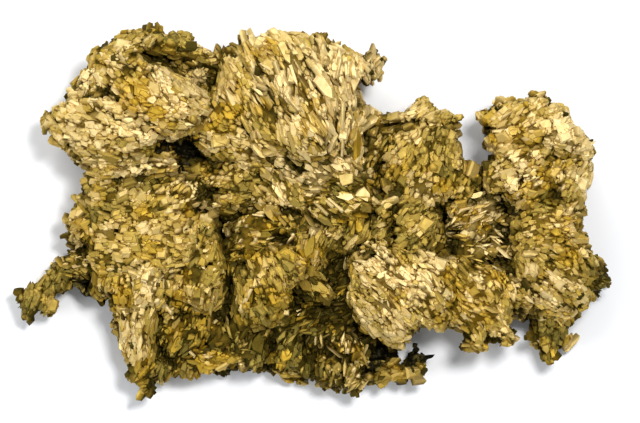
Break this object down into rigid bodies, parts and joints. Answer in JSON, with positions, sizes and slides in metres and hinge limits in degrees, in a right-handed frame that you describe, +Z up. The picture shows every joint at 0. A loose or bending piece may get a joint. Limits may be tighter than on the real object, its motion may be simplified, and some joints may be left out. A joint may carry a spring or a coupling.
{
  "type": "crystallised gold specimen",
  "caption": "Natural crystallised gold specimen: ridged leaves, blocky crystals and fine twigs intergrown over flat-backed sheets, with dark mineral in the recesses.",
  "frame": {"origin": "centre of the bounding box in plan, on the plane that the specimen rests on", "axes": "+X along the specimen's length, towards the lobe with the hanging leg; +Y across the broad face, towards the ridged north leaf; +Z up out of the broad face"},
  "size_m": [0.0606, 0.0368, 0.0134],
  "materials": {
    "pale_gold": "satin",
    "rich_gold": "satin",
    "olive_gold": "satin",
    "dark_mineral": "matt"
  },
  "bodies": {
    "root": {"back_sheet_west": "olive_gold", "back_sheet_centre": "olive_gold", "back_sheet_south": "olive_gold", "back_sheet_east": "olive_gold", "mineral_under_wing": "dark_mineral", "mineral_under_elbow": "dark_mineral", "sponge_at_centre_west": "olive_gold", "sponge_at_centre": "olive_gold", "mineral_at_east": "dark_mineral", "mineral_by_twig": "dark_mineral", "mineral_spur": "dark_mineral", "crest_rim_west": "rich_gold", "crest_rim_east": "rich_gold", "crest_hollow": "olive_gold", "crest_face": "rich_gold", "west_shoulder": "pale_gold", "west_wing": "pale_gold", "west_neck": "pale_gold", "west_body": "rich_gold", "west_bump": "rich_gold", "west_elbow": "rich_gold", "west_arm": "rich_gold", "column_head": "rich_gold", "column_shaft": "pale_gold", "column_hollow": "olive_gold", "ring_crystals": "rich_gold", "south_fan": "rich_gold", "west_field": "rich_gold", "centre_saddle": "rich_gold", "north_leaf_west": "rich_gold", "north_leaf_middle": "pale_gold", "north_leaf_east": "pale_gold", "leaf_foot": "rich_gold", "centre_blades": "pale_gold", "centre_north": "rich_gold", "centre_west": "olive_gold", "centre_ribs": "rich_gold", "centre_cluster": "rich_gold", "centre_wedge": "rich_gold", "centre_boss": "rich_gold", "saddle_ridge": "rich_gold", "saddle_face": "rich_gold", "saddle_west": "olive_gold", "south_leaf_west": "pale_gold", "south_leaf_east": "rich_gold", "south_plates": "olive_gold", "south_tuft": "rich_gold", "south_twig": "rich_gold", "heap_north": "rich_gold", "heap_south": "olive_gold", "lobe_crown": "pale_gold", "lobe_side": "rich_gold", "lobe_heart": "rich_gold", "east_body_north": "rich_gold", "east_body_south": "rich_gold", "east_tip": "olive_gold", "east_foot": "pale_gold", "east_leg": "olive_gold"}
  },
  "joints": []
}
